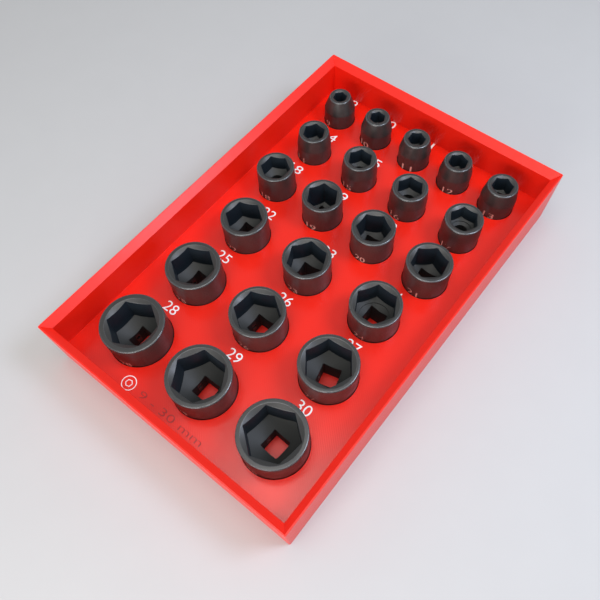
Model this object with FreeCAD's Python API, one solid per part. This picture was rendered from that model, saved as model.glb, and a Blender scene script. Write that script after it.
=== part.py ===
import FreeCAD
import Part
import math
import os

# Printed drawer tray with 22 impact sockets, in millimetres.
# The origin is the middle of the tray's underside. X runs along the front edge, Y to the rear, Z up.

# Tray
tray_width = 195.0
tray_length = 295.0
tray_height = 44.5
wall_thickness = 5.3
corner_radius = 1.0
rim_land = 0.8
rim_slope_drop = 4.3
rim_edge_bevel = 0.3
deck_height = 18.0
pocket_floor = 1.5
pocket_clearance = 0.45
rear_margin = 9.75
front_margin = 11.35

# Rows of pockets, from the rear wall to the front wall
rows = [
    ["09", "10", "11", "12", "13"],
    ["14", "15", "16", "17"],
    ["18", "19", "20", "21"],
    ["22", "23", "24"],
    ["25", "26", "27"],
    ["28", "29", "30"],
]

# Sizes that every socket shares
socket_length = 38.0
rim_chamfer = 0.7
nose_length = 10.0
foot_chamfer = 0.5
lead_in_margin = 0.8
lead_in_degrees = 30.0
floor_slope_degrees = 30.0
floor_step = 0.5
floor_step_share = 0.84
web_bore_diameter = 10.0
web_bore_margin = 1.0
drive_square = 12.9
drive_depth = 16.0
drive_lead_in = 0.6
pin_hole_diameter = 3.2
pin_hole_height = 8.0
ring_groove_width = 4.2
ring_groove_depth = 0.8

# Hexagon of each socket, across the flats, with the running clearance of the real tool
across_flats = {
    "09": 9.12, "10": 10.12, "11": 11.15, "12": 12.15, "13": 13.2, "14": 14.2, "15": 15.2, "16": 16.2,
    "17": 17.25, "18": 18.25, "19": 19.25, "20": 20.3, "21": 21.3, "22": 22.3, "23": 23.3, "24": 24.35,
    "25": 25.35, "26": 26.35, "27": 27.4, "28": 28.4, "29": 29.4, "30": 30.4,
}

# Outside diameter at the hexagon's mouth
rim_diameter = {
    "09": 15.6, "10": 17.6, "11": 18.6, "12": 19.4, "13": 20.8, "14": 21.6, "15": 23.2, "16": 24.6,
    "17": 25.8, "18": 26.4, "19": 28.0, "20": 29.6, "21": 30.4, "22": 32.0, "23": 32.2, "24": 33.6,
    "25": 36.4, "26": 36.2, "27": 37.8, "28": 41.2, "29": 40.8, "30": 42.1,
}

# Outside diameter of the drive end, which fits the pocket
body_diameter = {
    "09": 23.0, "10": 23.0, "11": 23.2, "12": 23.4, "13": 24.6, "14": 24.8, "15": 25.6, "16": 26.4,
    "17": 26.8, "18": 27.0, "19": 28.4, "20": 29.6, "21": 30.4, "22": 32.0, "23": 32.2, "24": 33.6,
    "25": 36.4, "26": 36.2, "27": 37.8, "28": 41.2, "29": 40.8, "30": 42.1,
}

# Depth of the hexagon below the rim, measured at its corners
hexagon_depth = {
    "09": 10.0, "10": 10.5, "11": 11.0, "12": 12.0, "13": 12.0, "14": 12.5, "15": 12.0, "16": 11.5,
    "17": 10.8, "18": 11.5, "19": 20.5, "20": 18.8, "21": 19.5, "22": 16.0, "23": 16.0, "24": 15.7,
    "25": 17.5, "26": 17.0, "27": 17.3, "28": 18.5, "29": 18.8, "30": 18.0,
}

# Hexagons too small for the square to meet: a round bore joins the two
bored_sizes = rows[0] + rows[1] + ["18"]

# Hexagons with a turned step in their conical floor
stepped_sizes = ["17", "24"]

# How far each loose socket is turned in its pocket: a corner of its hexagon, and a flat of its square
hexagon_turn_degrees = {
    "09": 47, "10": 55, "11": 35, "12": 41, "13": 32, "14": 55, "15": 58, "16": 0, "17": 1, "18": 28,
    "19": 0, "20": 30, "21": 39, "22": 25, "23": 54, "24": 58, "25": 26, "26": 26, "27": 7, "28": 30,
    "29": 1, "30": 22,
}
drive_turn_degrees = {
    "09": 12, "10": 70, "11": 31, "12": 8, "13": 55, "14": 24, "15": 40, "16": 63, "17": 17, "18": 5,
    "19": -3, "20": 8, "21": 2, "22": 2, "23": 5, "24": -1, "25": 0, "26": 1, "27": 14, "28": 0,
    "29": 1, "30": -3,
}

inner_width = tray_width - 2 * wall_thickness
inner_length = tray_length - 2 * wall_thickness
pocket_depth = deck_height - pocket_floor
overrun = rim_land


def pocket_diameter(size):
    return body_diameter[size] + 2 * pocket_clearance


def row_depth(row):
    return max(pocket_diameter(size) for size in row)


# Equal gaps between rows, and in each row equal gaps between pockets and walls
def pocket_places():
    places = {}
    free_length = inner_length - rear_margin - front_margin
    row_gap = (free_length - sum(row_depth(row) for row in rows)) / (len(rows) - 1)
    rear_edge = inner_length / 2 - rear_margin
    for row in rows:
        y = rear_edge - row_depth(row) / 2
        gap = (inner_width - sum(pocket_diameter(size) for size in row)) / (len(row) + 1)
        left_edge = -inner_width / 2 + gap
        for size in row:
            places[size] = FreeCAD.Vector(left_edge + pocket_diameter(size) / 2, y, pocket_floor)
            left_edge += pocket_diameter(size) + gap
        rear_edge -= row_depth(row) + row_gap
    return places


# Closed outline at one height, centred on the origin
def rectangle(width, length, height):
    x = width / 2
    y = length / 2
    corners = [(-x, -y), (x, -y), (x, y), (-x, y), (-x, -y)]
    return Part.makePolygon([FreeCAD.Vector(u, v, height) for u, v in corners])


# Straight-sided opening between two rectangles
def tapered_block(low, high):
    return Part.makeLoft([rectangle(*low), rectangle(*high)], True, True)


# True for the edges where the tray's outer sides meet its top
def is_outer_top(edge):
    box = edge.BoundBox
    on_side = max(abs(box.XMin), abs(box.XMax)) > tray_width / 2 - rim_land / 2
    on_end = max(abs(box.YMin), abs(box.YMax)) > tray_length / 2 - rim_land / 2
    return box.ZMin > tray_height - rim_land / 2 and (on_side or on_end)


def make_tray(places):
    body = Part.makeBox(
        tray_width, tray_length, tray_height, FreeCAD.Vector(-tray_width / 2, -tray_length / 2, 0)
    )
    upright = [edge for edge in body.Edges if abs(edge.tangentAt(edge.FirstParameter).z) > 0.5]
    body = body.makeFillet(corner_radius, upright)

    # The well above the deck, and the sloped rim that leads into it
    slope_foot = tray_height - rim_slope_drop
    slope_run = wall_thickness - rim_land
    mouth_width = inner_width + 2 * slope_run
    mouth_length = inner_length + 2 * slope_run
    well = tapered_block(
        (inner_width, inner_length, deck_height), (inner_width, inner_length, slope_foot)
    )
    rim_slope = tapered_block(
        (inner_width, inner_length, slope_foot), (mouth_width, mouth_length, tray_height)
    )
    above_rim = tapered_block(
        (mouth_width, mouth_length, tray_height), (mouth_width, mouth_length, tray_height + overrun)
    )
    body = body.cut(well.fuse([rim_slope, above_rim]))

    # The outer edge round the top is slightly bevelled
    top_edges = [edge for edge in body.Edges if is_outer_top(edge)]
    body = body.makeChamfer(rim_edge_bevel, top_edges)

    pockets = [
        Part.makeCylinder(pocket_diameter(size) / 2, pocket_depth + overrun, place)
        for size, place in places.items()
    ]
    return body.cut(pockets).removeSplitter()


# Regular polygon across its flats, at a height, with its first corner at a turn
def polygon(flats, corner_count, height, turn_degrees):
    radius = flats / 2 / math.cos(math.pi / corner_count)
    corners = []
    for number in range(corner_count + 1):
        angle = math.radians(turn_degrees) + 2 * math.pi * number / corner_count
        corners.append(FreeCAD.Vector(radius * math.cos(angle), radius * math.sin(angle), height))
    return Part.makePolygon(corners)


# Flat-sided hole between two heights, with its own width at each
def flat_hole(low_flats, high_flats, corner_count, low, high, turn_degrees):
    low_outline = polygon(low_flats, corner_count, low, turn_degrees)
    high_outline = polygon(high_flats, corner_count, high, turn_degrees)
    return Part.makeLoft([low_outline, high_outline], True, True)


# Round punch that shapes the floor of a hexagon: its conical point may have a step
def pointed_punch(radius, floor, top, step_radius):
    slope = math.tan(math.radians(floor_slope_degrees))
    edge = radius + overrun
    tip = floor - radius * slope
    profile = [(0, tip)]
    if step_radius > 0:
        step_foot = tip + step_radius * slope
        profile = [(0, tip - floor_step), (step_radius, step_foot - floor_step), (step_radius, step_foot)]
    profile += [(edge, tip + edge * slope), (edge, top), (0, top), profile[0]]
    face = Part.Face(Part.makePolygon([FreeCAD.Vector(x, 0, z) for x, z in profile]))
    return face.revolve(FreeCAD.Vector(0, 0, 0), FreeCAD.Vector(0, 0, 1), 360)


# Turned blank: chamfered foot, retaining groove round the drive end, nose that tapers to a smaller rim
def socket_blank(size):
    body_radius = body_diameter[size] / 2
    rim_radius = rim_diameter[size] / 2
    rim_foot = socket_length - rim_chamfer
    groove_radius = body_radius - ring_groove_depth
    groove_foot = pin_hole_height - ring_groove_width / 2
    groove_top = pin_hole_height + ring_groove_width / 2
    profile = [
        (0, 0),
        (body_radius - foot_chamfer, 0),
        (body_radius, foot_chamfer),
        (body_radius, groove_foot),
        (groove_radius, groove_foot + ring_groove_depth),
        (groove_radius, groove_top - ring_groove_depth),
        (body_radius, groove_top),
    ]
    if rim_radius < body_radius:
        profile.append((body_radius, socket_length - nose_length))
    profile.append((rim_radius, rim_foot))
    profile.append((rim_radius - rim_chamfer, socket_length))
    profile.append((0, socket_length))
    profile.append((0, 0))
    points = [FreeCAD.Vector(x, 0, z) for x, z in profile]
    face = Part.Face(Part.makePolygon(points))
    return face.revolve(FreeCAD.Vector(0, 0, 0), FreeCAD.Vector(0, 0, 1), 360)


# Everything that is cut away inside a socket
def socket_bores(size):
    flats = across_flats[size]
    hexagon_radius = flats / 2 / math.cos(math.pi / 6)
    hexagon_floor = socket_length - hexagon_depth[size]
    above_socket = socket_length + overrun
    step_radius = floor_step_share * flats / 2 if size in stepped_sizes else 0
    punch = pointed_punch(hexagon_radius, hexagon_floor, above_socket, step_radius)
    hexagon = flat_hole(flats, flats, 6, 0, above_socket, hexagon_turn_degrees[size]).common(punch)

    # Cone that leads a bolt head in: it bevels each flat deeply and each corner a little
    mouth_radius = hexagon_radius + lead_in_margin
    cone_height = mouth_radius * math.tan(math.radians(lead_in_degrees))
    lead_in = Part.makeCone(0, mouth_radius, cone_height, FreeCAD.Vector(0, 0, socket_length - cone_height))

    # Drive square with a bevelled mouth; it breaks into the hexagon's floor, or ends below a round bore
    drive_turn = drive_turn_degrees[size]
    drive_corner_turn = drive_turn + 45
    square_top = drive_depth if size in bored_sizes else hexagon_floor
    drive = flat_hole(drive_square, drive_square, 4, -overrun, square_top, drive_corner_turn)
    wide_square = drive_square + 4 * drive_lead_in
    drive_mouth = flat_hole(
        wide_square, drive_square, 4, -drive_lead_in, drive_lead_in, drive_corner_turn
    )
    cutters = [hexagon, lead_in, drive, drive_mouth]
    if size in bored_sizes:
        bore_radius = min(web_bore_diameter / 2, flats / 2 - web_bore_margin)
        bore_height = hexagon_floor - drive_depth
        cutters.append(Part.makeCylinder(bore_radius, bore_height, FreeCAD.Vector(0, 0, drive_depth)))

    # Cross hole for the retaining pin, through the middle of two flats of the square
    reach = body_diameter[size] + 2 * overrun
    start = FreeCAD.Vector(-reach / 2, 0, pin_hole_height)
    pin_hole = Part.makeCylinder(pin_hole_diameter / 2, reach, start, FreeCAD.Vector(1, 0, 0))
    pin_hole.rotate(FreeCAD.Vector(0, 0, 0), FreeCAD.Vector(0, 0, 1), drive_turn)
    cutters.append(pin_hole)
    return cutters


def make_socket(size, place):
    socket = socket_blank(size).cut(socket_bores(size))
    socket.translate(place)
    return socket


os.makedirs("parts", exist_ok=True)
places = pocket_places()
make_tray(places).exportStep("parts/tray.step")
for size, place in places.items():
    make_socket(size, place).exportStep("parts/socket_" + size + ".step")
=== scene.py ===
import math

import bpy
import numpy as np
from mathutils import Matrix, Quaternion, Vector


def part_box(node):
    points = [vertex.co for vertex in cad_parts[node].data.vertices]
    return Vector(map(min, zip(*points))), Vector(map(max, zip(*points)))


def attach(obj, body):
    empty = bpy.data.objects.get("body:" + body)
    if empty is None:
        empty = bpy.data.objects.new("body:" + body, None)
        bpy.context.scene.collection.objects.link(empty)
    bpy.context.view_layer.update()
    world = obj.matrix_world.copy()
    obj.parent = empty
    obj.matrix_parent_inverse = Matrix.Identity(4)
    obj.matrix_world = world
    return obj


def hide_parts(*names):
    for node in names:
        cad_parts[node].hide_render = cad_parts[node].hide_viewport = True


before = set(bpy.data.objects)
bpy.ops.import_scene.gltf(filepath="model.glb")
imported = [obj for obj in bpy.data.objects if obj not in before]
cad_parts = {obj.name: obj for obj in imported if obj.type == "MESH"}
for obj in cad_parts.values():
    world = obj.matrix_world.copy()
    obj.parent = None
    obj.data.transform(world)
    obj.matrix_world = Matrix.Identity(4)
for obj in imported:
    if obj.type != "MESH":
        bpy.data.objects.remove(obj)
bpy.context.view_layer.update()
print("frame loaded with", len(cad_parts), "pieces")

mm = 0.001
scene = bpy.context.scene
scene.view_settings.view_transform = "Standard"
socketNames = sorted(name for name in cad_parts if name.startswith("socket_"))
trayForm = {"deckHeight": 18.0, "pocketClearance": 0.45}  # millimetres, as in the CAD


# Camera

camera = {
    "place": (132.1, -158.0, 350.0),  # millimetres, in the tray's own frame
    "aim": (29.3, -42.8, 18.0),  # a point on the deck
    "roll": -3.58,  # degrees
    "lens": 34.15,
    "sensor": 36.0,
    "shift": (-0.0157, 0.0627),
    "clip": (0.01, 60.0),  # metres
}


def makeCamera(look):
    data = bpy.data.cameras.new("photo_camera")
    data.lens = look["lens"]
    data.sensor_width = look["sensor"]
    data.shift_x, data.shift_y = look["shift"]
    data.clip_start, data.clip_end = look["clip"]
    place = Vector(look["place"]) * mm
    view = Vector(look["aim"]) * mm - place
    turn = view.to_track_quat("-Z", "Y") @ Quaternion((0, 0, 1), math.radians(look["roll"]))
    obj = bpy.data.objects.new("photo_camera", data)
    obj.location = place
    obj.rotation_mode = "QUATERNION"
    obj.rotation_quaternion = turn
    scene.collection.objects.link(obj)
    scene.camera = obj


makeCamera(camera)
print("camera placed")


# Meshes

def meshObject(name, points, faces, smooth=True):
    mesh = bpy.data.meshes.new(name)
    mesh.from_pydata(np.asarray(points).tolist(), [], np.asarray(faces).tolist())
    mesh.polygons.foreach_set("use_smooth", np.full(len(mesh.polygons), smooth))
    mesh.update()
    obj = bpy.data.objects.new(name, mesh)
    scene.collection.objects.link(obj)
    return obj


def finishedMesh(obj):
    # What the object's modifiers or its letters give, as a mesh of its own.
    bpy.context.view_layer.update()
    return bpy.data.meshes.new_from_object(obj.evaluated_get(bpy.context.evaluated_depsgraph_get()))


def ringLoopFaces(ringCount, angleCount):
    # Quads of a grid that closes on itself both round the axis and along the profile.
    ring, angle = np.meshgrid(np.arange(ringCount), np.arange(angleCount), indexing="ij")
    nextRing = (ring + 1) % ringCount
    nextAngle = (angle + 1) % angleCount
    corners = (ring * angleCount + angle, ring * angleCount + nextAngle,
               nextRing * angleCount + nextAngle, nextRing * angleCount + angle)
    return np.stack([corner.ravel() for corner in corners], 1)


# Sockets

socketForm = {  # millimetres and degrees that all the sockets share
    "rimRound": 1.05,
    "noseLength": 10.0,
    "leadMargin": 0.8,
    "leadDegrees": 30.0,
    "floorDegrees": 30.0,
    "floorStep": 0.5,
    "floorStepShare": 0.84,  # of the hexagon's width
    "stepped": ("17", "24"),
    "webBore": 10.0,
    "webBoreMargin": 1.0,
    "bored": ("09", "10", "11", "12", "13", "14", "15", "16", "17", "18"),
    "cornerRound": 0.9,
    "square": 12.9,
    "squareDepth": 16.0,
    "squareRound": 0.9,
    "mouthBevel": 0.6,
    "grooveHeight": 8.0,
    "grooveWidth": 4.2,
    "grooveDepth": 0.8,
    "pinHole": 3.2,
    "pinHoleSides": 28,
    "pinHoleMargin": 2.0,  # of its cutter, past the body at both ends
    "anglesRound": 96,
    "cornerSteps": (-1.6, -1.0, -0.5, 0.0, 0.5, 1.0, 1.6),  # extra angles at each corner
    "hexagonSpread": 1.2,  # what those count in, as a share of the corner's radius
    "squareSpread": 1.3,
}

sizeColumns = ("flats", "rim", "depth", "hexTurn", "squareTurn", "markTurn")
sizeRows = {  # millimetres across flats, across the rim and deep, then how each is turned in its pocket
    "09": (9.12, 15.6, 10.0, 47, 12, -103),
    "10": (10.12, 17.6, 10.5, 55, 70, -103),
    "11": (11.15, 18.6, 11.0, 35, 31, -82),
    "12": (12.15, 19.4, 12.0, 41, 8, -78),
    "13": (13.2, 20.8, 12.0, 32, 55, -85),
    "14": (14.2, 21.6, 12.5, 55, 24, -104),
    "15": (15.2, 23.2, 12.0, 58, 40, -98),
    "16": (16.2, 24.6, 11.5, 0, 63, -98),
    "17": (17.25, 25.8, 10.8, 1, 17, -100),
    "18": (18.25, 26.4, 11.5, 28, 5, -90),
    "19": (19.25, 28.0, 20.5, 0, -3, -88),
    "20": (20.3, 29.6, 18.8, 30, 8, -88),
    "21": (21.3, 30.4, 19.5, 39, 2, -92),
    "22": (22.3, 32.0, 16.0, 25, 2, -91),
    "23": (23.3, 32.2, 16.0, 54, 5, -91),
    "24": (24.35, 33.6, 15.7, 58, -1, -90),
    "25": (25.35, 36.4, 17.5, 26, 0, -87),
    "26": (26.35, 36.2, 17.0, 26, 1, -87),
    "27": (27.4, 37.8, 17.3, 7, 14, -90),
    "28": (28.4, 41.2, 18.5, 30, 0, -72),
    "29": (29.4, 40.8, 18.8, 1, 1, -88),
    "30": (30.4, 42.1, 18.0, 22, -3, -90),
}
socketSizes = {key: dict(zip(sizeColumns, row)) for key, row in sizeRows.items()}


def polygonRadius(angles, flats, count, cornerTurn, cornerRound):
    # Distance from the axis to a regular polygon: half the width over the cosine of the angle from the
    # middle of a flat, and within each corner the far side of a small circle that touches both flats.
    step = 2 * math.pi / count
    fromCorner = (angles - cornerTurn + step / 2) % step - step / 2
    fromFlat = step / 2 - np.abs(fromCorner)
    straight = flats / 2 / np.cos(fromFlat)
    centre = (flats / 2 - cornerRound) / math.cos(step / 2)
    touch = step / 2 - math.atan((flats / 2 - cornerRound) * math.tan(step / 2) / (flats / 2))
    inside = np.maximum(cornerRound ** 2 - (centre * np.sin(fromCorner)) ** 2, 0)
    rounded = centre * np.cos(fromCorner) + np.sqrt(inside)
    return np.where(np.abs(fromCorner) < touch, rounded, straight)


def cornerAngles(count, cornerTurn, spread):
    # Extra angles close to every corner, so that the grid follows its small radius.
    corners = cornerTurn + np.arange(count) * 2 * math.pi / count
    offsets = np.array(socketForm["cornerSteps"]) * spread
    return (corners[:, None] + offsets[None, :]).ravel()


def softenProfile(corners, reach, pointCount=4, mostOfSide=0.45):
    # Every corner of a closed profile becomes a short quadratic curve. It starts and ends at the given
    # reach from the corner along its two sides, and takes up no more than the given share of a side.
    tiny = 1e-9  # keeps a side of no length from dividing by zero
    back = np.roll(corners, 1, 0) - corners
    ahead = np.roll(corners, -1, 0) - corners
    backLength = np.linalg.norm(back, axis=2, keepdims=True) + tiny
    aheadLength = np.linalg.norm(ahead, axis=2, keepdims=True) + tiny
    size = np.minimum(np.minimum(reach[:, None, None], mostOfSide * backLength), mostOfSide * aheadLength)
    start = corners + back / backLength * size
    end = corners + ahead / aheadLength * size
    share = np.linspace(0, 1, pointCount)[None, :, None, None]
    curve = ((1 - share) ** 2 * start[:, None] + 2 * share * (1 - share) * corners[:, None]
             + share ** 2 * end[:, None])
    return curve.reshape(-1, corners.shape[1], 2)


def blendZones(zones, pointCount=4):
    # Along each rounded corner the value passes from the side before it to the side after it.
    share = np.linspace(0, 1, pointCount)
    before = np.roll(zones, 1)
    return (before[:, None] * (1 - share) + zones[:, None] * share).ravel()


def socketProfile(key, bodyRadius, length, angles):
    # The profile's corners, each with its radius and height at every angle, the reach of its rounding,
    # its wear, and the zone of the side that follows it. They run up the outside, in over the rim,
    # down the lead-in cone, the hexagon and its conical floor, through the square and out along the foot.
    form = socketForm
    size = socketSizes[key]
    hexagon = polygonRadius(angles, size["flats"], 6, math.radians(size["hexTurn"]), form["cornerRound"])
    square = polygonRadius(angles, form["square"], 4, math.radians(size["squareTurn"] + 45),
                           form["squareRound"])
    hexagonReach = size["flats"] / 2 / math.cos(math.pi / 6)
    mouth = hexagonReach + form["leadMargin"]
    leadSlope = math.tan(math.radians(form["leadDegrees"]))
    floorSlope = math.tan(math.radians(form["floorDegrees"]))
    floorTip = length - size["depth"] - hexagonReach * floorSlope
    grooveFoot = form["grooveHeight"] - form["grooveWidth"] / 2
    grooveTop = form["grooveHeight"] + form["grooveWidth"] / 2
    grooveRadius = bodyRadius - form["grooveDepth"]
    profile = [
        (bodyRadius, 0, 0.55, 0.3, "outside"),
        (bodyRadius, grooveFoot, 0.15, 0.3, "outside"),
        (grooveRadius, grooveFoot + form["grooveDepth"], 0.3, 0, "outside"),
        (grooveRadius, grooveTop - form["grooveDepth"], 0.3, 0, "outside"),
        (bodyRadius, grooveTop, 0.15, 0.3, "outside"),
        (bodyRadius, length - form["noseLength"], 0.5, 0, "outside"),
        (size["rim"] / 2, length, form["rimRound"], 1, "rim"),
        (mouth, length, 0.2, 0.6, "rim"),
        (hexagon, length - (mouth - hexagon) * leadSlope, 0.25, 0.5, "wall"),
        (hexagon, floorTip + hexagon * floorSlope, 0.35, 0, "floor"),
    ]
    if key in form["stepped"]:
        step = form["floorStepShare"] * size["flats"] / 2
        profile.append((step, floorTip + step * floorSlope, 0.1, 0.4, "floor"))
        floorTip -= form["floorStep"]
        profile.append((step, floorTip + step * floorSlope, 0.15, 0, "floor"))
    if key in form["bored"]:
        bore = min(form["webBore"] / 2, size["flats"] / 2 - form["webBoreMargin"])
        profile.append((bore, floorTip + bore * floorSlope, 0.2, 0.4, "bore"))
        profile.append((bore, form["squareDepth"], 0.12, 0, "bore"))
        profile.append((square, form["squareDepth"], 0.12, 0, "bore"))
    else:
        profile.append((square, floorTip + square * floorSlope, 0.2, 0.4, "bore"))
    widening = 1 + 2 * form["mouthBevel"] / form["square"]
    profile.append((square, form["mouthBevel"], 0.15, 0, "foot"))
    profile.append((square * widening, 0, 0.15, 0.3, "foot"))
    return profile


def cutPinHole(piece, centre, foot, turn, reach):
    # A round cutter lies across the drive end and is taken out of the mesh. Its two rings are the
    # hole's radius times the cosine across and the sine upwards, one at each end of its length.
    sides = socketForm["pinHoleSides"]
    angle = np.linspace(0, 2 * math.pi, sides, endpoint=False)
    ring = socketForm["pinHole"] / 2 * np.column_stack([np.cos(angle), np.sin(angle)])
    along = np.array([math.cos(turn), math.sin(turn)])
    across = np.array([-along[1], along[0]])
    points = []
    for end in (-reach, reach):
        flat = along * end + ring[:, :1] * across
        points.append(np.column_stack([flat, ring[:, 1] + socketForm["grooveHeight"]]))
    points = np.concatenate(points) * mm + [centre.x, centre.y, foot]
    near = np.arange(sides)
    after = (near + 1) % sides
    walls = np.column_stack([near, after, after + sides, near + sides]).tolist()
    cutter = bpy.data.meshes.new("cutter")
    cutter.from_pydata(points.tolist(), [], walls + [near[::-1].tolist(), (near + sides).tolist()])
    cutterObject = bpy.data.objects.new("cutter", cutter)
    scene.collection.objects.link(cutterObject)
    hole = piece.modifiers.new("pin_hole", "BOOLEAN")
    hole.operation = "DIFFERENCE"
    hole.solver = "EXACT"
    hole.object = cutterObject
    holed = finishedMesh(piece)
    piece.modifiers.clear()
    plain = piece.data
    piece.data = holed
    holed.name = piece.name
    bpy.data.meshes.remove(plain)
    bpy.data.objects.remove(cutterObject)
    bpy.data.meshes.remove(cutter)


def makeSocket(name):
    # The softened profile is carried round the axis: x and y are its radius at an angle times that
    # angle's cosine and sine, and the hexagon and the square are in the radius itself.
    form = socketForm
    size = socketSizes[name[-2:]]
    low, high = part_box(name)
    centre = (low + high) / 2
    bodyRadius = (high.x - low.x) / 2 / mm
    hexTurn = math.radians(size["hexTurn"])
    squareTurn = math.radians(size["squareTurn"])
    angles = np.concatenate([
        np.linspace(0, 2 * math.pi, form["anglesRound"], endpoint=False),
        cornerAngles(6, hexTurn, form["hexagonSpread"] * form["cornerRound"] / size["flats"]),
        cornerAngles(4, math.radians(size["squareTurn"] + 45),
                     form["squareSpread"] * form["squareRound"] / form["square"]),
    ]) % (2 * math.pi)
    angles = np.unique(np.round(angles, 4))
    profile = socketProfile(name[-2:], bodyRadius, (high.z - low.z) / mm, angles)
    flat = np.ones_like(angles)
    corners = np.stack([np.stack([row[0] * flat, row[1] * flat], 1) for row in profile])
    rings = softenProfile(corners, np.array([row[2] for row in profile]))
    radius, height = rings[..., 0], rings[..., 1]
    points = np.stack([
        centre.x + radius * mm * np.cos(angles),
        centre.y + radius * mm * np.sin(angles),
        low.z + height * mm,
    ], 2)
    faces = ringLoopFaces(len(rings), len(angles))
    piece = meshObject(name.replace("socket", "impact_socket"), points.reshape(-1, 3), faces)
    # Wear sits on the two middle points of each rounded corner, and fades to its ends.
    wear = np.array([row[3] for row in profile])[:, None] * [0, 1, 1, 0]
    zones = {"wear": wear.ravel()}
    for zone in ("rim", "wall", "floor", "bore"):
        zones[zone] = blendZones(np.array([float(row[4] == zone) for row in profile]))
    for zone, values in zones.items():
        layer = piece.data.attributes.new(zone, "FLOAT", "POINT")
        layer.data.foreach_set("value", np.repeat(values, len(angles)))
    cutPinHole(piece, centre, low.z, squareTurn, bodyRadius + form["pinHoleMargin"])
    weighted = piece.modifiers.new("even_shading", "WEIGHTED_NORMAL")
    weighted.keep_sharp = True
    piece.data.materials.clear()
    piece.data.materials.append(phosphateSteel)
    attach(piece, name)
    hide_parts(name)


# Lettering

lettering = {
    "height": 7.4,  # millimetres, of the white numbers on the deck
    "widthShare": 0.70,  # of the height, for one figure with its gap
    "above": 2.2,  # from the edge of the row's widest pocket to the foot of the number
    "proud": 0.04,
    "inset": 0.3,
    "weight": -0.003,
    "curveSteps": 6,
    "markHeight": 5.0,  # of the size number on each socket
    "markWidthShare": 0.78,
    "markFoot": 16.2,  # above the socket's foot
    "markProud": 0.03,
}


def textShape(text, height, widthShare, weight, depth, name):
    # A line of figures as a mesh: its foot on y = 0, its middle on x = 0, its front at z = 0. Its width
    # is the share of the height for each letter, or as the font has it where the share is 0.
    curve = bpy.data.curves.new(name, "FONT")
    curve.body = text
    curve.align_x = "CENTER"
    curve.resolution_u = lettering["curveSteps"]
    curve.offset = weight
    curve.extrude = 0.5  # only tells the front from the back, which is moved to the depth below
    holder = bpy.data.objects.new(name, curve)
    scene.collection.objects.link(holder)
    mesh = finishedMesh(holder)
    bpy.data.objects.remove(holder)
    bpy.data.curves.remove(curve)
    points = np.empty(len(mesh.vertices) * 3)
    mesh.vertices.foreach_get("co", points)
    points = points.reshape(-1, 3)
    low, high = points.min(0), points.max(0)
    scale = height / (high[1] - low[1])
    stretch = widthShare * height * len(text) / (high[0] - low[0]) if widthShare else scale
    points[:, 0] = (points[:, 0] - (low[0] + high[0]) / 2) * stretch
    points[:, 1] = (points[:, 1] - low[1]) * scale
    points[:, 2] = np.where(points[:, 2] > 0, 0.0, -depth)
    mesh.name = name
    return mesh, points


def placeMesh(mesh, points, name, material, body):
    mesh.vertices.foreach_set("co", np.asarray(points, float).ravel())
    mesh.update()
    mesh.materials.clear()
    mesh.materials.append(material)
    obj = bpy.data.objects.new(name, mesh)
    scene.collection.objects.link(obj)
    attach(obj, body)


def makeDeckNumbers():
    # Each number stands behind its socket, and all of a row on one line: the row's middle plus half of
    # its widest pocket plus the gap above it.
    deckTop = trayForm["deckHeight"] * mm
    rows = {}
    for name in socketNames:
        low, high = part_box(name)
        key = round((low.y + high.y) / 2 / mm)
        rows.setdefault(key, []).append((name, low, high))
    for members in rows.values():
        widest = max((high.y - low.y) / 2 for _, low, high in members) + trayForm["pocketClearance"] * mm
        for name, low, high in members:
            middle = (low + high) / 2
            mesh, points = textShape(str(int(name[-2:])), lettering["height"] * mm,
                                     lettering["widthShare"], lettering["weight"],
                                     lettering["inset"] * mm, "number")
            points += [middle.x, middle.y + widest + lettering["above"] * mm,
                       deckTop + lettering["proud"] * mm]
            placeMesh(mesh, points, "deck_number_" + name[-2:], labelWhite, "tray")


def makeSideMarks():
    # Each mark's flat shape is rolled round the socket: x along the arc becomes an angle.
    for name in socketNames:
        low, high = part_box(name)
        centre = (low + high) / 2
        radius = (high.x - low.x) / 2 + lettering["markProud"] * mm
        mesh, points = textShape(str(int(name[-2:])), lettering["markHeight"] * mm,
                                 lettering["markWidthShare"], 0.0,
                                 2 * lettering["markProud"] * mm, "mark")
        turn = math.radians(socketSizes[name[-2:]]["markTurn"])
        angle = turn + points[:, 0] / radius
        reach = radius + points[:, 2]
        rolled = np.stack([centre.x + reach * np.cos(angle), centre.y + reach * np.sin(angle),
                           low.z + lettering["markFoot"] * mm + points[:, 1]], 1)
        placeMesh(mesh, rolled, "size_mark_" + name[-2:], markTan, name)


ringMark = {
    "centre": (-40.5, -136.5),  # millimetres on the deck
    "outer": 5.0,
    "line": 0.55,
    "points": 72,
    "hexagon": 2.6,
    "hexagonLine": 0.6,
    "hexagonTurn": 0.3,  # radians
}

rangeMark = {
    "text": "9 - 30 mm",
    "left": -30.0,
    "foot": -139.4,
    "height": 4.9,
    "width": 52.0,
    "proud": 0.02,
    "weight": -0.012,
}


def bandMesh(name, inner, outer, centre, top, depth):
    # A closed band between two outlines of as many points, flat on top, with upright sides.
    count = len(inner)
    flat = np.concatenate([outer, inner, inner, outer]) + np.asarray(centre)
    height = np.repeat([top, top, top - depth, top - depth], count)
    points = np.column_stack([flat, height])
    return meshObject(name, points, ringLoopFaces(4, count)[:, ::-1], smooth=False)


def outline(radius, count, turn=0.0):
    # Even points of a circle, or a polygon's corners: the radius times each angle's cosine and sine.
    angle = turn + np.arange(count) * 2 * math.pi / count
    return radius * mm * np.column_stack([np.cos(angle), np.sin(angle)])


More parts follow.
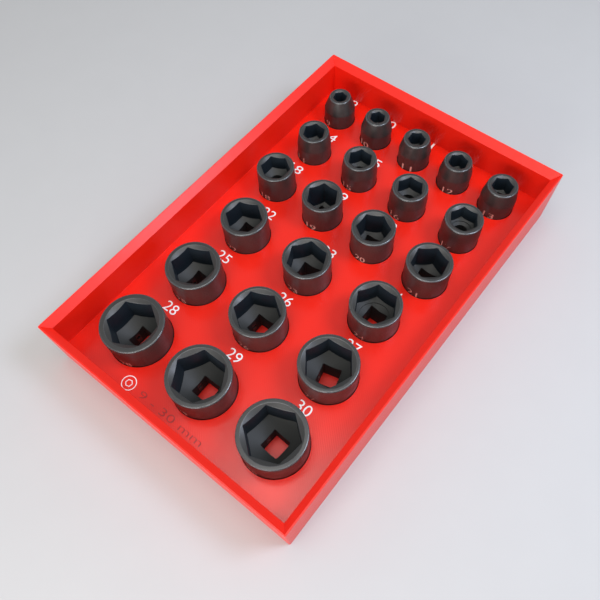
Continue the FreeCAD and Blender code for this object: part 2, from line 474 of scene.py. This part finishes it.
def makeDeckMarks():
    # A plain ring with a hexagon inside it, and the range of sizes beside them.
    look = ringMark
    centre = np.array(look["centre"]) * mm
    top = (trayForm["deckHeight"] + lettering["proud"]) * mm
    depth = lettering["inset"] * mm
    bands = (("deck_ring", look["outer"], look["line"], look["points"], 0.0),
             ("deck_hexagon", look["hexagon"], look["hexagonLine"], 6, look["hexagonTurn"]))
    for name, radius, line, count, turn in bands:
        mark = bandMesh(name, outline(radius - line, count, turn), outline(radius, count, turn),
                        centre, top, depth)
        mark.data.materials.append(labelWhite)
        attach(mark, "tray")
    look = rangeMark
    mesh, points = textShape(look["text"], look["height"] * mm, 0, look["weight"], depth, "range")
    points[:, 0] *= look["width"] * mm / np.ptp(points[:, 0])
    points += [(look["left"] + look["width"] / 2) * mm, look["foot"] * mm,
               (trayForm["deckHeight"] + look["proud"]) * mm]
    # The range's darker red is painted shade standing in for sunk letters.
    placeMesh(mesh, points, "deck_range", rangeShadeRed, "tray")


# Materials

noiseSpread = (0.3, 0.7)  # where most values of a noise lie


def newMaterial(name):
    material = bpy.data.materials.new(name)
    material.use_nodes = True
    tree = material.node_tree
    tree.nodes.clear()
    shader = tree.nodes.new("ShaderNodeBsdfPrincipled")
    output = tree.nodes.new("ShaderNodeOutputMaterial")
    tree.links.new(shader.outputs["BSDF"], output.inputs["Surface"])
    return material, tree, shader


def addNode(tree, kind, inputs=None, **settings):
    node = tree.nodes.new("ShaderNode" + kind)
    for key, value in settings.items():
        setattr(node, key, value)
    for key, value in (inputs or {}).items():
        if isinstance(value, bpy.types.NodeSocket):
            tree.links.new(value, node.inputs[key])
        else:
            node.inputs[key].default_value = value
    return node


def objectPlace(tree):
    return addNode(tree, "TexCoord").outputs["Object"]


def calculate(tree, operation, *values):
    return addNode(tree, "Math", dict(enumerate(values)), operation=operation).outputs[0]


def mixColours(tree, share, first, second):
    return addNode(tree, "Mix", {0: share, 6: first, 7: second}, data_type="RGBA").outputs[2]


def addNoise(tree, place, scale, detail=2.0):
    return addNode(tree, "TexNoise", {"Vector": place, "Scale": scale, "Detail": detail}).outputs["Fac"]


def addLines(tree, place, direction, pitch, distortion, waver):
    # Soft lines, one to each pitch: the node's scale is a tenth of pi over the pitch.
    return addNode(tree, "TexWave", {
        "Vector": place, "Scale": 0.1 * math.pi / (pitch * mm), "Distortion": distortion,
        "Detail": 1.0, "Detail Scale": waver}, bands_direction=direction).outputs["Fac"]


def mapRange(tree, value, low, high, fromLow=0.0, fromHigh=1.0):
    # The value's share of its own range becomes the same share of the range from low to high.
    return addNode(tree, "MapRange", {
        "Value": value, "From Min": fromLow, "From Max": fromHigh,
        "To Min": low, "To Max": high}).outputs[0]


def addRelief(tree, height, depth, under=None, strength=1.0):
    # Bump of a depth in millimetres, over the relief that is under it.
    inputs = {"Strength": strength, "Distance": depth * mm, "Height": height}
    if under is not None:
        inputs["Normal"] = under
    return addNode(tree, "Bump", inputs).outputs[0]


trayLook = {
    "red": (0.84, 0.014, 0.004, 1),
    "deepRed": (0.78, 0.012, 0.003, 1),
    "mottle": 28.0,
    "roughness": (0.20, 0.26),
    "roughnessGrain": 900.0,
    "wallRoughness": 0.36,
    "layerPitch": 0.28,  # millimetres
    "layerDepth": 0.010,
    "rasterPitch": 1.3,
    "rasterDepth": 0.020,
    "rasterTurn": -45,  # degrees
    "deckTolerance": 0.03,  # how far from the deck's height still counts as the deck
}


def makeTrayPlastic():
    # Printed plastic: level layer lines on every wall, a diagonal raster on the smoother deck.
    look = trayLook
    material, tree, shader = newMaterial("tray_red_plastic")
    place = objectPlace(tree)
    height = addNode(tree, "SeparateXYZ", {0: place}).outputs[2]
    onDeck = calculate(tree, "COMPARE", height, trayForm["deckHeight"] * mm, look["deckTolerance"] * mm)
    turned = addNode(tree, "Mapping", {0: place, 2: (0, 0, math.radians(look["rasterTurn"]))}).outputs[0]
    layers = addLines(tree, place, "Z", look["layerPitch"], distortion=0.4, waver=0.02)
    raster = addLines(tree, turned, "X", look["rasterPitch"], distortion=0.5, waver=0.02)
    mottle = addNoise(tree, place, look["mottle"], detail=3.0)
    grain = addNoise(tree, place, look["roughnessGrain"])
    tree.links.new(mixColours(tree, mottle, look["red"], look["deepRed"]), shader.inputs["Base Color"])
    deckRough = mapRange(tree, grain, *look["roughness"], *noiseSpread)
    rough = mapRange(tree, onDeck, look["wallRoughness"], deckRough)
    tree.links.new(rough, shader.inputs["Roughness"])
    notDeck = calculate(tree, "SUBTRACT", 1.0, onDeck)
    wallRelief = addRelief(tree, calculate(tree, "MULTIPLY", layers, notDeck), look["layerDepth"])
    relief = addRelief(tree, calculate(tree, "MULTIPLY", raster, onDeck), look["rasterDepth"], wallRelief)
    tree.links.new(relief, shader.inputs["Normal"])
    return material


steelLook = {
    "black": (0.023, 0.020, 0.019, 1),
    "grey": (0.080, 0.074, 0.071, 1),
    "rim": (0.024, 0.024, 0.023, 1),
    "wall": (0.013, 0.022, 0.033, 1),  # inside the hexagon: painted shade, darker than the outside, with a painted bluish reflection
    # the hexagon's floor: painted shade, darker than the outside
    "floor": (0.016, 0.017, 0.015, 1),
    # the square bore: painted shade, near black
    "bore": (0.004, 0.004, 0.004, 1),
    "worn": (0.13, 0.14, 0.15, 1),
    "roughness": (0.36, 0.48),
    "wearRoughness": 0.22,
    "floorRoughness": 0.58,
    "boreRoughness": 0.80,
    "metallic": 0.25,
    "specular": 0.85,
    "cloud": 160.0,
    "grain": 2600.0,
    "speckle": (0.38, 0.66),  # the part of the grain that shows as grey specks
    "grainDepth": 0.012,  # millimetres
    "turningPitch": 0.35,
    "turningDepth": 0.004,
}


def makePhosphateSteel():
    # Black phosphate over forged steel: a fine speckle in colour, gloss and relief, faint turning lines,
    # and tones of their own for the rim and worn edges. Painted shade darkens the hexagon's walls and
    # floor and the bore, and the walls carry a painted bluish reflection.
    look = steelLook
    material, tree, shader = newMaterial("black_phosphate_steel")
    place = objectPlace(tree)
    zone = {name: addNode(tree, "Attribute", attribute_name=name).outputs["Fac"]
            for name in ("wear", "rim", "wall", "floor", "bore")}
    grain = addNoise(tree, place, look["grain"], detail=3.0)
    cloud = addNoise(tree, place, look["cloud"])
    speckle = mapRange(tree, grain, 0.0, 1.0, *look["speckle"])
    colour = mixColours(tree, calculate(tree, "MULTIPLY", speckle, cloud), look["black"], look["grey"])
    # The rim gets its own tone; the hexagon's walls and floor and the bore get painted shade.
    for name in ("rim", "wall", "floor", "bore"):
        colour = mixColours(tree, zone[name], colour, look[name])
    worn = calculate(tree, "MULTIPLY", zone["wear"], speckle)
    tree.links.new(mixColours(tree, worn, colour, look["worn"]), shader.inputs["Base Color"])
    rough = mapRange(tree, cloud, *look["roughness"], *noiseSpread)
    for name in ("wear", "floor", "bore"):
        rough = mapRange(tree, zone[name], rough, look[name + "Roughness"])
    tree.links.new(rough, shader.inputs["Roughness"])
    turning = addLines(tree, place, "Z", look["turningPitch"], distortion=0.6, waver=0.05)
    turned = addRelief(tree, turning, look["turningDepth"])
    tree.links.new(addRelief(tree, grain, look["grainDepth"], turned), shader.inputs["Normal"])
    shader.inputs["Metallic"].default_value = look["metallic"]
    shader.inputs["Specular IOR Level"].default_value = look["specular"]
    return material


whiteLook = {"light": (0.98, 0.95, 0.95, 1), "dark": (0.90, 0.86, 0.86, 1), "roughness": 0.4,
             "mottle": 1500.0, "depth": 0.01}
tanLook = {"light": (0.95, 0.66, 0.56, 1), "dark": (0.42, 0.25, 0.22, 1), "roughness": 0.5,
           "mottle": 2500.0, "depth": 0.01}
# Darker red of the size-range lettering: painted shade for letters sunk into the deck, which sit flush
# here; the rougher finish is their own.
rangeShadeLook = {"light": (0.42, 0.006, 0.004, 1), "dark": (0.32, 0.005, 0.003, 1), "roughness": 0.5,
            "mottle": 900.0, "depth": 0.01}


def makePaint(name, look):
    # An even colour with a faint mottle in tone and relief.
    material, tree, shader = newMaterial(name)
    mottle = addNoise(tree, objectPlace(tree), look["mottle"], detail=3.0)
    tree.links.new(mixColours(tree, mottle, look["light"], look["dark"]), shader.inputs["Base Color"])
    shader.inputs["Roughness"].default_value = look["roughness"]
    tree.links.new(addRelief(tree, mottle, look["depth"], strength=0.5), shader.inputs["Normal"])
    return material


trayPlastic = makeTrayPlastic()
phosphateSteel = makePhosphateSteel()
labelWhite = makePaint("label_white_plastic", whiteLook)
markTan = makePaint("etched_mark_tan", tanLook)
rangeShadeRed = makePaint("sunk_mark_painted_shade", rangeShadeLook)
print("materials made")

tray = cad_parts["tray"]
tray.data.materials.clear()
tray.data.materials.append(trayPlastic)
for socketName in socketNames:
    makeSocket(socketName)
print("sockets made")
makeDeckNumbers()
makeDeckMarks()
makeSideMarks()
print("lettering made")


# Floor and light

floorLook = {
    "size": 40.0,  # metres, so that no edge of it shows in a low view
    "light": (0.50, 0.50, 0.50, 1),
    "dark": (0.485, 0.485, 0.485, 1),
    "mottle": 40.0,
    "roughness": 0.7,
}


def makeFloor():
    look = floorLook
    half = look["size"] / 2
    floor = meshObject("floor", [(-half, -half, 0), (half, -half, 0), (half, half, 0), (-half, half, 0)],
                       [(0, 1, 2, 3)], smooth=False)
    material, tree, shader = newMaterial("pale_floor")
    mottle = addNoise(tree, objectPlace(tree), look["mottle"])
    tree.links.new(mixColours(tree, mottle, look["light"], look["dark"]), shader.inputs["Base Color"])
    shader.inputs["Roughness"].default_value = look["roughness"]
    floor.data.materials.append(material)


lamps = {  # millimetres and watts
    "overhead": {"place": (60, -190, 1020), "aim": (20, -60, 0), "size": (640, 640), "watts": 4.6,
                 "colour": (1.0, 0.97, 0.93)},
    "right_side": {"place": (430, 230, 680), "aim": (0, -40, 20), "size": (240, 280), "watts": 3.6,
                   "colour": (0.72, 0.80, 1.0)},
    "front_fill": {"place": (150, -760, 300), "aim": (0, 60, 20), "size": (560, 300), "watts": 3.6,
                   "colour": (1.0, 0.97, 0.93)},
}
room = {"colour": (0.96, 0.98, 1.0, 1), "strength": 0.54}


def makeLamp(name, look):
    data = bpy.data.lights.new(name, "AREA")
    data.shape = "RECTANGLE"
    data.size, data.size_y = (side * mm for side in look["size"])
    data.energy = look["watts"]
    data.color = look["colour"]
    obj = bpy.data.objects.new(name, data)
    obj.location = Vector(look["place"]) * mm
    aim = Vector(look["aim"]) * mm - obj.location
    obj.rotation_mode = "QUATERNION"
    obj.rotation_quaternion = aim.to_track_quat("-Z", "Y")
    scene.collection.objects.link(obj)


def makeWorld(look):
    world = bpy.data.worlds.new("studio")
    world.use_nodes = True
    background = world.node_tree.nodes["Background"]
    background.inputs["Color"].default_value = look["colour"]
    background.inputs["Strength"].default_value = look["strength"]
    scene.world = world


makeFloor()
for lampName, lampLook in lamps.items():
    makeLamp(lampName, lampLook)
makeWorld(room)
print("floor and light made")
